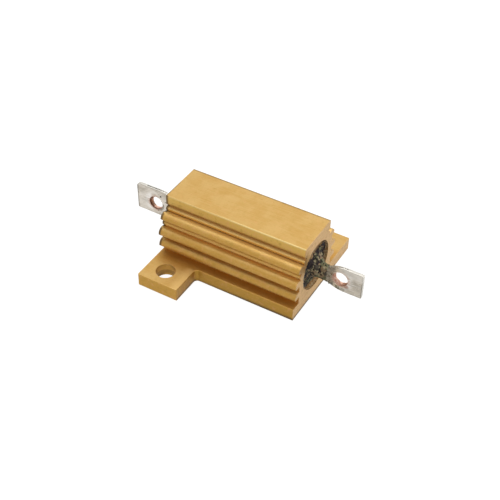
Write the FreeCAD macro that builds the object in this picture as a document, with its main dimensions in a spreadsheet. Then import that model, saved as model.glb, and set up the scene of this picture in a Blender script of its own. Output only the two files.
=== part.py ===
import FreeCAD, Part
import Sketcher
import os
from FreeCAD import Rotation, Vector

# Aluminium housed power resistor, in millimetres.
# X runs along the body, Y across it towards the ear at the +X end, Z up from the mounting face.
# The origin is in the mounting face, at the middle of the body.

doc = FreeCAD.newDocument("housed_resistor")

# How near, in millimetres, an edge lies to the place by which it is picked
NEAR = 1e-4

# Driving dimensions
SIZES = [
    # housing, base and ears
    ("body_length", 19.8),
    ("base_thickness", 1.78),
    ("base_ledge", 0.41),
    ("ear_projection", 4.51),
    ("ear_length", 5.78),
    ("ear_root_radius", 0.55),
    ("edge_break_radius", 0.1),
    ("screw_hole_from_end", 2.7),
    ("screw_hole_from_edge", 2.28),
    ("screw_hole_radius", 1.28),
    # bore
    ("bore_radius", 3.3),
    ("bore_floor", 1.53),
    # housing, side outline from the base upwards: heights of the successive steps
    ("channel_height", 1.09),
    ("fin_lower_thickness", 0.92),
    ("lower_gap", 0.88),
    ("fin_middle_thickness", 1.11),
    ("fin_middle_fall", 0.26),
    ("rib_lower_gap", 0.08),
    ("rib_lower_thickness", 0.36),
    ("rib_lower_shade", 0.3),
    ("upper_gap", 0.65),
    ("fin_upper_thickness", 1.0),
    ("fin_upper_fall", 0.53),
    ("rib_upper_gap", 0.19),
    ("rib_upper_thickness", 0.34),
    ("neck_height", 0.3),
    ("slab_bevel", 0.22),
    ("slab_side", 1.36),
    # housing, side outline: walls beside the bore, and how far each step stands out or in
    ("channel_wall", 0.95),
    ("lower_wall", 1.0),
    ("valley_wall", 0.73),
    ("upper_wall", 0.65),
    ("shoulder_inset", 0.15),
    ("neck_inset", 0.55),
    ("fin_lower_depth", 0.99),
    ("fin_middle_depth", 0.96),
    ("fin_upper_depth", 0.78),
    ("rib_lower_depth", 0.29),
    ("rib_upper_depth", 0.27),
    ("slab_overhang", 0.56),
    ("crown_step", 0.08),
    ("rib_radius", 0.12),
    ("slab_edge_radius", 0.16),
    # wound element
    ("compound_wall", 0.9),
    ("core_from_end", 3.4),
    ("core_chamfer", 0.2),
    ("cap_wall", 0.38),
    ("cap_depth", 1.5),
    ("cap_fit", 0.02),
    ("wire_radius", 0.12),
    ("wire_pitch", 0.72),
    ("wire_clearance", 0.01),
    ("winding_end_gap", 0.06),
    # terminals
    ("lead_diameter", 1.6),
    ("bend_length", 1.6),
    ("press_length", 1.2),
    ("press_width", 2.5),
    ("shoulder_length", 1.45),
    ("shoulder_radius", 2.0),
    ("blade_thickness", 0.55),
    ("blade_corner_radius", 0.12),
    ("solder_hole_radius", 1.0),
    ("solder_hole_from_end", 2.95),
    ("right_blade_width", 3.68),
    ("right_reach", 6.42),
    ("right_offset", -0.57),
    ("right_shoulder_before_hole", 0.3),
    ("left_blade_width", 4.12),
    ("left_reach", 6.72),
    ("left_offset", 0.22),
    ("left_shoulder_before_hole", 1.3),
    # moulding compound
    ("compound_fit", 0.02),
    ("compound_recess", 0.5),
    ("mound_foot_radius", 2.0),
    ("mound_rise", 0.2),
    ("mound_neck_radius", 1.35),
    ("mound_neck_reach", 0.5),
    ("mound_tip_radius", 1.05),
    ("mound_tip_reach", 1.3),
]


def fill_sheet():
    sheet = doc.addObject("Spreadsheet::Sheet", "Sizes")
    for row, (name, value) in enumerate(SIZES, start=1):
        sheet.set("A%d" % row, name)
        sheet.set("B%d" % row, str(value))
        sheet.setAlias("B%d" % row, name)
    doc.recompute()
    return sheet


sheet = fill_sheet()


# Short forms shared by all sub-parts

def size(name):
    return "Sizes." + name


def total(*names):
    return " + ".join(size(name) for name in names)


def value(expression):
    result = sheet.evalExpression(expression)
    return float(getattr(result, "Value", result))


def bind(feature, **settings):
    for prop, expression in settings.items():
        feature.setExpression(prop, expression)


def origin_feature(body, role):
    for feature in body.Origin.OriginFeatures:
        if feature.Role == role:
            return feature
    raise ValueError(role)


def new_body(name, height=None):
    body = doc.addObject("PartDesign::Body", name)
    body.Label = name
    if height is not None:
        body.setExpression("Placement.Base.z", height)
    return body


def new_sketch(body, name, role, offset=None):
    sketch = body.newObject("Sketcher::SketchObject", name)
    sketch.AttachmentSupport = [(origin_feature(body, role), "")]
    sketch.MapMode = "FlatFace"
    if offset is not None:
        sketch.setExpression("AttachmentOffset.Base.z", offset)
    return sketch


def place_point(sketch, geometry, end, name, across, up):
    """Holds one end of a line, or a centre, at two sheet values from the sketch's origin."""
    for kind, expression in (("DistanceX", across), ("DistanceY", up)):
        index = sketch.addConstraint(Sketcher.Constraint(kind, -1, 1, geometry, end, value(expression)))
        label = "%s_%s" % (name, kind[-1])
        sketch.renameConstraint(index, label)
        sketch.setExpression("Constraints." + label, expression)


def closed_outline(sketch, corners):
    """Straight-sided closed outline; corners are (name, across, up) with sheet expressions."""
    points = [Vector(value(across), value(up), 0) for _, across, up in corners]
    lines = []
    for start, stop in zip(points, points[1:] + points[:1]):
        lines.append(sketch.addGeometry(Part.LineSegment(start, stop), False))
    for before, line in zip(lines[-1:] + lines[:-1], lines):
        sketch.addConstraint(Sketcher.Constraint("Coincident", before, 2, line, 1))
    for line, (name, across, up) in zip(lines, corners):
        place_point(sketch, line, 1, name, across, up)


def circle(sketch, name, across, up, radius):
    centre = Vector(value(across), value(up), 0)
    ring = sketch.addGeometry(Part.Circle(centre, Vector(0, 0, 1), value(radius)), False)
    place_point(sketch, ring, 3, name, across, up)
    index = sketch.addConstraint(Sketcher.Constraint("Radius", ring, value(radius)))
    sketch.renameConstraint(index, name + "_radius")
    sketch.setExpression("Constraints.%s_radius" % name, radius)


def pad(body, sketch, name, length, midplane=False):
    feature = body.newObject("PartDesign::Pad", name)
    feature.Profile = sketch
    feature.Midplane = midplane
    bind(feature, Length=length)
    doc.recompute()
    return feature


def through_pocket(body, sketch, name):
    """Cuts right through, both ways from the sketch, and makes sure that it cut."""
    before = body.Shape.Volume
    feature = body.newObject("PartDesign::Pocket", name)
    feature.Profile = sketch
    feature.Type = "ThroughAll"
    feature.Midplane = True
    doc.recompute()
    if not feature.Shape.Volume < before:
        raise RuntimeError(name + " removed nothing")
    return feature


def revolve(body, sketch, name):
    feature = body.newObject("PartDesign::Revolution", name)
    feature.Profile = sketch
    feature.ReferenceAxis = (origin_feature(body, "X_Axis"), [""])
    feature.Angle = 360
    doc.recompute()
    return feature


def edges_where(shape, test):
    return ["Edge%d" % count for count, edge in enumerate(shape.Edges, start=1) if test(edge)]


def round_edges(body, base, name, edges, radius):
    feature = body.newObject("PartDesign::Fillet", name)
    feature.Base = (base, edges)
    bind(feature, Radius=radius)
    doc.recompute()
    return feature


def along(edge, direction):
    return edge.Curve.TypeId == "Part::GeomLine" and abs(edge.Curve.Direction.dot(direction)) > 1 - NEAR


# Placing of the bore and the ends, which the other sub-parts share

half_length = size("body_length") + " / 2"
bore_height = total("bore_floor", "bore_radius")

# Housing: side outline levels, from the mounting face upwards

channel_top = total("base_thickness", "channel_height")
fin_lower_top = channel_top + " + " + size("fin_lower_thickness")
fin_middle_bottom = fin_lower_top + " + " + size("lower_gap")
fin_middle_top = fin_middle_bottom + " + " + size("fin_middle_thickness")
valley_level = fin_middle_top + " - " + size("fin_middle_fall")
rib_lower_bottom = fin_middle_top + " + " + size("rib_lower_gap")
rib_lower_top = rib_lower_bottom + " + " + size("rib_lower_thickness")
upper_root_level = rib_lower_top + " + " + size("rib_lower_shade")
fin_upper_bottom = rib_lower_top + " + " + size("upper_gap")
fin_upper_top = fin_upper_bottom + " + " + size("fin_upper_thickness")
shoulder_level = fin_upper_top + " - " + size("fin_upper_fall")
rib_upper_bottom = shoulder_level + " + " + size("rib_upper_gap")
rib_upper_top = rib_upper_bottom + " + " + size("rib_upper_thickness")
neck_level = rib_upper_top + " + " + size("neck_height")
slab_bottom = neck_level + " + " + size("slab_bevel")
slab_top = slab_bottom + " + " + size("slab_side")

# Housing: side outline distances from the middle plane

channel_root = total("bore_radius", "channel_wall")
lower_root = total("bore_radius", "lower_wall")
valley_root = total("bore_radius", "valley_wall")
upper_root = total("bore_radius", "upper_wall")
shoulder_root = size("bore_radius") + " - " + size("shoulder_inset")
neck_root = size("bore_radius") + " - " + size("neck_inset")
fin_lower_reach = channel_root + " + " + size("fin_lower_depth")
fin_middle_reach = lower_root + " + " + size("fin_middle_depth")
fin_upper_reach = upper_root + " + " + size("fin_upper_depth")
rib_lower_reach = valley_root + " + " + size("rib_lower_depth")
rib_upper_reach = shoulder_root + " + " + size("rib_upper_depth")
slab_half_width = neck_root + " + " + size("slab_overhang")
crown_radius = size("fin_upper_depth") + " - " + size("crown_step")
base_half_width = fin_lower_reach + " + " + size("base_ledge")
ear_reach = base_half_width + " + " + size("ear_projection")


def side_outline():
    """Half of the extruded section, from the middle of the mounting face to the middle of the top."""
    return [
        ("foot_middle", "0", "0"),
        ("foot_edge", base_half_width, "0"),
        ("base_edge", base_half_width, size("base_thickness")),
        ("channel_foot", channel_root, size("base_thickness")),
        ("channel_head", channel_root, channel_top),
        ("fin_lower_under", fin_lower_reach, channel_top),
        ("fin_lower_crown", fin_lower_reach, fin_lower_top),
        ("lower_foot", lower_root, fin_lower_top),
        ("lower_head", lower_root, fin_middle_bottom),
        ("fin_middle_under", fin_middle_reach, fin_middle_bottom),
        ("fin_middle_crown", fin_middle_reach, fin_middle_top),
        ("valley", valley_root, valley_level),
        ("rib_lower_under", rib_lower_reach, rib_lower_bottom),
        ("rib_lower_crown", rib_lower_reach, rib_lower_top),
        ("upper_foot", upper_root, upper_root_level),
        ("fin_upper_under", fin_upper_reach, fin_upper_bottom),
        ("fin_upper_crown", fin_upper_reach, fin_upper_top),
        ("shoulder", shoulder_root, shoulder_level),
        ("rib_upper_under", rib_upper_reach, rib_upper_bottom),
        ("rib_upper_crown", rib_upper_reach, rib_upper_top),
        ("neck", neck_root, neck_level),
        ("slab_under", slab_half_width, slab_bottom),
        ("slab_crown", slab_half_width, slab_top),
        ("top_middle", "0", slab_top),
    ]


def long_edges(shape, outline, names):
    """Edges along X at the named corners of the outline, on both sides."""
    places = [(value(across), value(up)) for name, across, up in outline if name in names]

    def wanted(edge):
        if not along(edge, Vector(1, 0, 0)):
            return False
        point = edge.CenterOfMass
        return any(abs(abs(point.y) - y) < NEAR and abs(point.z - z) < NEAR for y, z in places)

    return edges_where(shape, wanted)


def make_housing():
    body = new_body("housing")
    outline = side_outline()
    section = new_sketch(body, "half_section", "YZ_Plane")
    closed_outline(section, outline)
    half = pad(body, section, "extruded_half", size("body_length"), midplane=True)

    whole = body.newObject("PartDesign::Mirrored", "extruded_body")
    whole.Originals = [half]
    whole.MirrorPlane = (origin_feature(body, "XZ_Plane"), [""])
    body.Tip = whole
    doc.recompute()

    crowns = long_edges(whole.Shape, outline, ("fin_lower_crown", "fin_middle_crown", "fin_upper_crown"))
    crowned = round_edges(body, whole, "fin_crowns", crowns, crown_radius)
    ribs = long_edges(crowned.Shape, outline, (
        "rib_lower_crown", "rib_lower_under", "rib_upper_crown", "rib_upper_under",
        "fin_lower_under", "fin_middle_under", "fin_upper_under"))
    ribbed = round_edges(body, crowned, "rib_rounding", ribs, size("rib_radius"))
    slab = long_edges(ribbed.Shape, outline, ("slab_crown", "slab_under"))
    slabbed = round_edges(body, ribbed, "slab_rounding", slab, size("slab_edge_radius"))
    body.Tip = slabbed

    plan = new_sketch(body, "ear_plan", "XY_Plane")
    ear_start = half_length + " - " + size("ear_length")
    inside = size("bore_radius")
    closed_outline(plan, [
        ("ear_inner", ear_start, inside),
        ("ear_end_inner", half_length, inside),
        ("ear_end_outer", half_length, ear_reach),
        ("ear_outer", ear_start, ear_reach),
    ])
    ear = pad(body, plan, "ear", size("base_thickness"))
    hole = new_sketch(body, "screw_hole_plan", "XY_Plane")
    hole_x = half_length + " - " + size("screw_hole_from_end")
    hole_y = ear_reach + " - " + size("screw_hole_from_edge")
    circle(hole, "screw_hole", hole_x, hole_y, size("screw_hole_radius"))
    screw_hole = through_pocket(body, hole, "screw_hole")

    ears = body.newObject("PartDesign::PolarPattern", "diagonal_ears")
    ears.Originals = [ear, screw_hole]
    ears.Axis = (origin_feature(body, "Z_Axis"), [""])
    ears.Angle = 360
    ears.Occurrences = 2
    body.Tip = ears
    doc.recompute()

    ear_side = value(ear_start)
    ear_end = value(half_length)
    ear_face = value(ear_reach)
    base_side = value(base_half_width)

    def upright_at(places):
        def wanted(edge):
            point = edge.CenterOfMass
            near = any(abs(abs(point.x) - x) < NEAR and abs(abs(point.y) - y) < NEAR for x, y in places)
            return along(edge, Vector(0, 0, 1)) and near
        return wanted

    roots = edges_where(ears.Shape, upright_at([(ear_side, base_side)]))
    rooted = round_edges(body, ears, "ear_roots", roots, size("ear_root_radius"))
    corners = edges_where(rooted.Shape, upright_at([(ear_side, ear_face), (ear_end, ear_face)]))

    def milled_rim(edge):
        box = edge.BoundBox
        at_top = box.ZLength < NEAR and abs(box.ZMin - value(size("base_thickness"))) < NEAR
        at_end = box.XLength < NEAR and abs(abs(box.XMin) - ear_end) < NEAR
        outside = abs(edge.CenterOfMass.y) > base_side - NEAR
        return at_top and outside and not at_end and not edge.isClosed()

    rims = edges_where(rooted.Shape, milled_rim)
    softened = round_edges(body, rooted, "edge_break", rims + corners, size("edge_break_radius"))
    body.Tip = softened

    end = new_sketch(body, "bore_outline", "YZ_Plane")
    circle(end, "bore", "0", bore_height, size("bore_radius"))
    through_pocket(body, end, "bore")
    return body


# Wound element: core, caps and winding share the bore's axis

cap_outer_radius = size("bore_radius") + " - " + size("compound_wall")
cap_inner_radius = cap_outer_radius + " - " + size("cap_wall")
core_radius = cap_inner_radius + " - " + size("cap_fit")
core_length = size("body_length") + " - 2 * " + size("core_from_end")
cap_bottom = "(%s) / 2 + %s" % (core_length, size("cap_fit"))
cap_face = cap_bottom + " + " + size("cap_wall")
cap_mouth = cap_face + " - " + size("cap_depth")


def make_core():
    body = new_body("ceramic_core", bore_height)
    end = new_sketch(body, "core_end", "YZ_Plane")
    circle(end, "core", "0", "0", core_radius)
    rod = pad(body, end, "rod", core_length, midplane=True)
    chamfer = body.newObject("PartDesign::Chamfer", "end_bevels")
    chamfer.Base = (rod, edges_where(rod.Shape, lambda edge: edge.isClosed()))
    bind(chamfer, Size=size("core_chamfer"))
    doc.recompute()
    return body


def make_cap(name, side):
    body = new_body(name, bore_height)
    body.Placement.Rotation = Rotation(Vector(0, 0, 1), 0 if side > 0 else 180)
    half = new_sketch(body, name + "_section", "XZ_Plane")
    closed_outline(half, [
        ("bottom_middle", cap_bottom, "0"),
        ("face_middle", cap_face, "0"),
        ("face_rim", cap_face, cap_outer_radius),
        ("mouth_rim", cap_mouth, cap_outer_radius),
        ("mouth_inner", cap_mouth, cap_inner_radius),
        ("bottom_inner", cap_bottom, cap_inner_radius),
    ])
    cup = revolve(body, half, name + "_cup")
    rim = edges_where(cup.Shape, lambda edge: edge.isClosed()
                      and abs(edge.Curve.Radius - value(cap_outer_radius)) < NEAR
                      and abs(abs(edge.CenterOfMass.x) - value(cap_face)) < NEAR)
    round_edges(body, cup, name + "_rim", rim, size("cap_wall") + " / 2")
    return body


def make_winding():
    body = new_body("resistance_winding", bore_height)
    first_turn = "%s - (%s)" % (cap_mouth, total("wire_radius", "winding_end_gap"))
    turn_radius = core_radius + " + " + total("wire_clearance", "wire_radius")
    wire = new_sketch(body, "wire_section", "XZ_Plane")
    circle(wire, "wire", "-(%s)" % first_turn, turn_radius, size("wire_radius"))
    coil = body.newObject("PartDesign::AdditiveHelix", "turns")
    coil.Profile = wire
    coil.ReferenceAxis = (origin_feature(body, "X_Axis"), [""])
    coil.Mode = "pitch-height-angle"
    bind(coil, Pitch=size("wire_pitch"), Height="2 * (%s)" % first_turn)
    coil.Angle = 0
    doc.recompute()
    return body


# Terminals: a round lead, bent to its height and pressed flat into a blade outside the body

def across_lead(body, name, distance, height=None, blade=False):
    """Section of the lead, round or pressed flat, at a distance from the middle of the body."""
    sketch = new_sketch(body, name, "YZ_Plane", offset=distance)
    middle = height or "0"
    if not blade:
        circle(sketch, name, "0", middle, size("lead_diameter") + " / 2")
        return sketch
    side = size("blade_thickness") + " / 2"
    rise = size("press_width") + " / 2"
    closed_outline(sketch, [
        (name + "_a", "-(%s)" % side, "%s - %s" % (middle, rise)),
        (name + "_b", side, "%s - %s" % (middle, rise)),
        (name + "_c", side, "%s + %s" % (middle, rise)),
        (name + "_d", "-(%s)" % side, "%s + %s" % (middle, rise)),
    ])
    return sketch


def loft(body, name, first, last):
    feature = body.newObject("PartDesign::AdditiveLoft", name)
    feature.Profile = first
    feature.Sections = [last]
    feature.Ruled = True
    doc.recompute()
    return feature


def make_terminal(name, side, hand):
    """Distances run outward from the middle of the body, heights from the bore's axis."""
    middle = size(hand + "_offset")
    body = new_body(name, bore_height)
    body.Placement.Rotation = Rotation(Vector(0, 0, 1), 0 if side > 0 else 180)
    end = half_length + " + " + size(hand + "_reach")
    hole_place = "%s - %s" % (end, size("solder_hole_from_end"))
    shoulder = hole_place + " - " + size(hand + "_shoulder_before_hole")
    press_end = shoulder + " - " + size("shoulder_length")
    press_start = press_end + " - " + size("press_length")
    bend_start = press_start + " - " + size("bend_length")

    weld = across_lead(body, name + "_weld", cap_face)
    pad(body, weld, name + "_lead", "%s - (%s)" % (bend_start, cap_face))
    loft(body, name + "_bend",
         across_lead(body, name + "_straight", bend_start),
         across_lead(body, name + "_round", press_start, middle))
    loft(body, name + "_press",
         across_lead(body, name + "_unpressed", press_start, middle),
         across_lead(body, name + "_pressed", press_end, middle, blade=True))

    plan = new_sketch(body, name + "_plan", "XZ_Plane")
    press_rise = size("press_width") + " / 2"
    rise = size(hand + "_blade_width") + " / 2"
    closed_outline(plan, [
        (name + "_root_low", press_end, "%s - %s" % (middle, press_rise)),
        (name + "_shoulder_low", shoulder, "%s - %s" % (middle, rise)),
        (name + "_end_low", end, "%s - %s" % (middle, rise)),
        (name + "_end_high", end, "%s + %s" % (middle, rise)),
        (name + "_shoulder_high", shoulder, "%s + %s" % (middle, rise)),
        (name + "_root_high", press_end, "%s + %s" % (middle, press_rise)),
    ])
    blade = pad(body, plan, name + "_blade", size("blade_thickness"), midplane=True)

    def at(distance):
        place = value(distance)
        return lambda edge: along(edge, Vector(0, 1, 0)) and abs(edge.CenterOfMass.x - place) < NEAR

    shoulders = round_edges(body, blade, name + "_shoulders", edges_where(blade.Shape, at(shoulder)),
                            size("shoulder_radius"))
    tips = round_edges(body, shoulders, name + "_tips", edges_where(shoulders.Shape, at(end)),
                       size("blade_corner_radius"))
    body.Tip = tips
    hole = new_sketch(body, name + "_hole_plan", "XZ_Plane")
    circle(hole, name + "_hole", hole_place, middle, size("solder_hole_radius"))
    through_pocket(body, hole, name + "_hole")
    return body


# Moulding compound: cast round the wound element and both leads, with a mound at each mouth

def make_compound(terminals):
    cast = new_body("cast_form", bore_height)
    half = new_sketch(cast, "cast_section", "XZ_Plane")
    rim = "%s - %s" % (half_length, size("compound_recess"))
    foot = rim + " + " + size("mound_rise")
    neck = half_length + " + " + size("mound_neck_reach")
    tip = half_length + " + " + size("mound_tip_reach")
    outer = size("bore_radius") + " - " + size("compound_fit")
    closed_outline(half, [
        ("left_tip_middle", "-(%s)" % tip, "0"),
        ("right_tip_middle", tip, "0"),
        ("right_tip", tip, size("mound_tip_radius")),
        ("right_neck", neck, size("mound_neck_radius")),
        ("right_foot", foot, size("mound_foot_radius")),
        ("right_rim", rim, outer),
        ("left_rim", "-(%s)" % rim, outer),
        ("left_foot", "-(%s)" % foot, size("mound_foot_radius")),
        ("left_neck", "-(%s)" % neck, size("mound_neck_radius")),
        ("left_tip", "-(%s)" % tip, size("mound_tip_radius")),
    ])
    revolve(cast, half, "cast_solid")

    room = doc.addObject("Part::Cylinder", "element_room")
    bind(room, Radius=cap_outer_radius + " + " + size("compound_fit"), Height="2 * (%s)" % cap_face)
    room.Placement.Rotation = Rotation(Vector(0, 1, 0), 90)
    bind(room, **{"Placement.Base.x": "-(%s)" % cap_face, "Placement.Base.z": bore_height})

    tools = doc.addObject("Part::MultiFuse", "cast_inserts")
    tools.Shapes = [room] + terminals
    compound = doc.addObject("Part::Cut", "moulding_compound")
    compound.Label = "moulding_compound"
    compound.Base = cast
    compound.Tool = tools
    doc.recompute()
    return compound


# Build, check and write

def check_document():
    for feature in doc.Objects:
        if "Invalid" in feature.State or "Error" in feature.State:
            raise RuntimeError("%s: %s" % (feature.Name, feature.State))


def write(sub_parts):
    os.makedirs("parts", exist_ok=True)
    for sub_part in sub_parts:
        shape = sub_part.Shape
        if shape.isNull() or not shape.isValid():
            raise RuntimeError(sub_part.Label + " has no valid shape")
        if len(shape.Solids) != 1:
            raise RuntimeError("%s has %d solids" % (sub_part.Label, len(shape.Solids)))
        shape.exportStep("parts/%s.step" % sub_part.Label)
        print("%-20s volume %10.3f" % (sub_part.Label, shape.Volume))


terminals = [
    make_terminal("terminal_right", 1, "right"),
    make_terminal("terminal_left", -1, "left"),
]
sub_parts = [
    make_housing(),
    make_core(),
    make_winding(),
    make_cap("end_cap_right", 1),
    make_cap("end_cap_left", -1),
    make_compound(terminals),
] + terminals
doc.recompute()
check_document()
write(sub_parts)
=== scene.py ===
import bmesh
import bpy
import math
from mathutils import Matrix, Vector, noise


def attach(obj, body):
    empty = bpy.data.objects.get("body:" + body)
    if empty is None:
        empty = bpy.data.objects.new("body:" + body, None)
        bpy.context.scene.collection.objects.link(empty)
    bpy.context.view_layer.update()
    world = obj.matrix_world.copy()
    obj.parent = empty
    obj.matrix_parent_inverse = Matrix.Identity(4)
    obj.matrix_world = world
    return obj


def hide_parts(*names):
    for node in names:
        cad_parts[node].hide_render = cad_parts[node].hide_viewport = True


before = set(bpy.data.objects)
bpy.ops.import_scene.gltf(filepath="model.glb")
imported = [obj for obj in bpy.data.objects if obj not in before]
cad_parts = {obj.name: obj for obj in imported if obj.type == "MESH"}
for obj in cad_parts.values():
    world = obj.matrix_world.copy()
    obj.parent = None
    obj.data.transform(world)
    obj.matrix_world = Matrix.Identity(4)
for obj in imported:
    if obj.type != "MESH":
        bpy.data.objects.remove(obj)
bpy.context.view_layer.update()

# Lengths are in millimetres, and MM turns them into Blender's metres. X runs along the body, Y
# across it and away from the camera, and Z up from the mounting face.
MM = 0.001
HALF_LENGTH = 9.9
BODY_HEIGHT = 9.75
BASE_THICKNESS = 1.78
EAR_HOLE = (7.2, 7.88)
EAR_HOLE_RADIUS = 1.28
BORE_RADIUS = 3.3
BORE_HEIGHT = 4.83
# The end caps' outer faces, from the middle of the body, where the leads begin
CAP_FACE = 6.9
CAP_RADIUS = 2.4
LEAD_RADIUS = 0.8
BLADE_HALF_THICKNESS = 0.275
HOLE_RADIUS = 1.0
HOLE_FROM_END = 2.95


# Small helpers

def smooth(low, high, place):
    """0 up to low, 1 from high on, and a soft step between."""
    t = min(1.0, max(0.0, (place - low) / (high - low)))
    return t * t * (3 - 2 * t)


def follow(points, place):
    """Straight-line reading of a list of (place, value)."""
    if place <= points[0][0]:
        return points[0][1]
    for (x0, y0), (x1, y1) in zip(points, points[1:]):
        if place <= x1:
            return y0 + (y1 - y0) * (place - x0) / (x1 - x0)
    return points[-1][1]


def curve(points, place):
    """The same list read through a short running mean, which rounds its corners."""
    spread = 0.22
    steps = (-1.0, -0.6, -0.2, 0.2, 0.6, 1.0)
    return sum(follow(points, place + spread * step) for step in steps) / len(steps)


def spaced(start, end, steps):
    return [start + i * (end - start) / steps for i in range(steps + 1)]


def rough(point, scale, octaves):
    return noise.fractal(point * scale, 0.9, 2.1, octaves)


def piece(name, bm, materials, node, sharp):
    """A finished mesh from millimetres, riding on the part and standing for its node.

    sharp is the angle in degrees above which an edge shows as one."""
    bmesh.ops.recalc_face_normals(bm, faces=bm.faces)
    bm.transform(Matrix.Scale(MM, 4))
    mesh = bpy.data.meshes.new(name)
    bm.to_mesh(mesh)
    bm.free()
    mesh.shade_smooth()
    mesh.set_sharp_from_angle(angle=math.radians(sharp))
    for material in materials:
        mesh.materials.append(material)
    made = bpy.data.objects.new(name, mesh)
    bpy.context.scene.collection.objects.link(made)
    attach(made, "root")
    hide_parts(node)


# Terminals: round lead, pressed flat outside the body, with a punched solder hole

# Distances are from the middle of the body to places on the right-hand terminal, whose hole is at
# RIGHT_HOLE. The widening runs from 0, the lead's radius, to 1, the blade's half-width.
RIGHT_HOLE = 13.32
PRESS_HALF_WIDTH = [(10.35, 0.0), (11.0, 0.13), (11.55, 0.34), (12.0, 0.545), (12.47, 0.76),
                    (12.95, 0.91), (13.4, 0.98), (14.0, 1.0)]
PRESS_HALF_THICKNESS = [(10.3, 0.8), (11.0, 0.64), (11.55, 0.47), (12.0, 0.37), (12.5, 0.31),
                        (13.0, 0.28), (13.5, 0.275)]
PRESS_POWER = [(10.3, 2.0), (11.0, 2.5), (11.8, 4.0), (12.6, 7.0), (13.4, 9.0)]
BEND_LENGTH = 1.6
BEND_BEFORE_HOLE = 4.55
TWIST_BEFORE_HOLE = 2.0


class Lead:
    """One terminal, and its section at any distance from the middle of the body.

    side       which end of the body it is at, 1 or -1
    node       the CAD node that its mesh stands for
    end        where its blade ends
    rise       height of the blade above the bore's axis
    blade      half of the blade's width
    early      how much nearer the body than on the right-hand terminal its pressed part begins
    twist      turn of the blade about its length, in degrees
    clip       how much is clipped off the upper corner of its end
    hole_lift  how far its hole lies above the blade's middle
    burr       how far the punched wall closes in towards the far side
    burr_way   and in which direction from the hole's centre
    creep      how far out the compound climbs on it
    """

    def __init__(self, side, node, end, rise, blade, early, twist, clip, hole_lift, burr, burr_way,
                 creep):
        self.side = side
        self.node = node
        self.end = end
        self.rise = rise
        self.blade = blade
        self.twist = math.radians(twist)
        self.clip = clip
        self.hole_lift = hole_lift
        self.burr = burr
        self.burr_way = burr_way
        self.creep = creep
        self.hole = end - HOLE_FROM_END
        self.shift = self.hole - RIGHT_HOLE - early

    def centre(self, place):
        start = self.shift + RIGHT_HOLE - BEND_BEFORE_HOLE
        return BORE_HEIGHT + self.rise * smooth(start, start + BEND_LENGTH, place)

    def half_width(self, place):
        widening = curve(PRESS_HALF_WIDTH, place - self.shift)
        return LEAD_RADIUS + (self.blade - LEAD_RADIUS) * widening

    def half_thickness(self, place):
        return curve(PRESS_HALF_THICKNESS, place - self.shift)

    def power(self, place):
        """Power of the section's superellipse: 2 is round, and more is squarer."""
        return curve(PRESS_POWER, place - self.shift)

    def to_part(self, place, side_y, up):
        """A point of the terminal, with its slight twist, in the part's frame."""
        angle = self.twist * smooth(self.hole - TWIST_BEFORE_HOLE, self.end, place)
        y = side_y * math.cos(angle) - up * math.sin(angle)
        z = side_y * math.sin(angle) + up * math.cos(angle)
        return Vector((self.side * place, self.side * y, self.centre(place) + z))


RIGHT = Lead(side=1, node="terminal_right", end=16.32, rise=-0.57, blade=1.84, early=0.0, twist=0.0,
             clip=0.06, hole_lift=0.08, burr=0.2, burr_way=math.pi + 0.7, creep=11.8)
LEFT = Lead(side=-1, node="terminal_left", end=16.62, rise=0.22, blade=2.06, early=1.2, twist=-1.2,
            clip=0.2, hole_lift=-0.16, burr=0.22, burr_way=0.3, creep=11.9)


# Shader helpers

def srgb(red, green, blue):
    """A colour as it shows, 0 to 255, to the linear values that a shader takes."""
    def linear(level):
        level /= 255
        return level / 12.92 if level <= 0.04045 else ((level + 0.055) / 1.055) ** 2.4
    return (linear(red), linear(green), linear(blue), 1.0)


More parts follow.
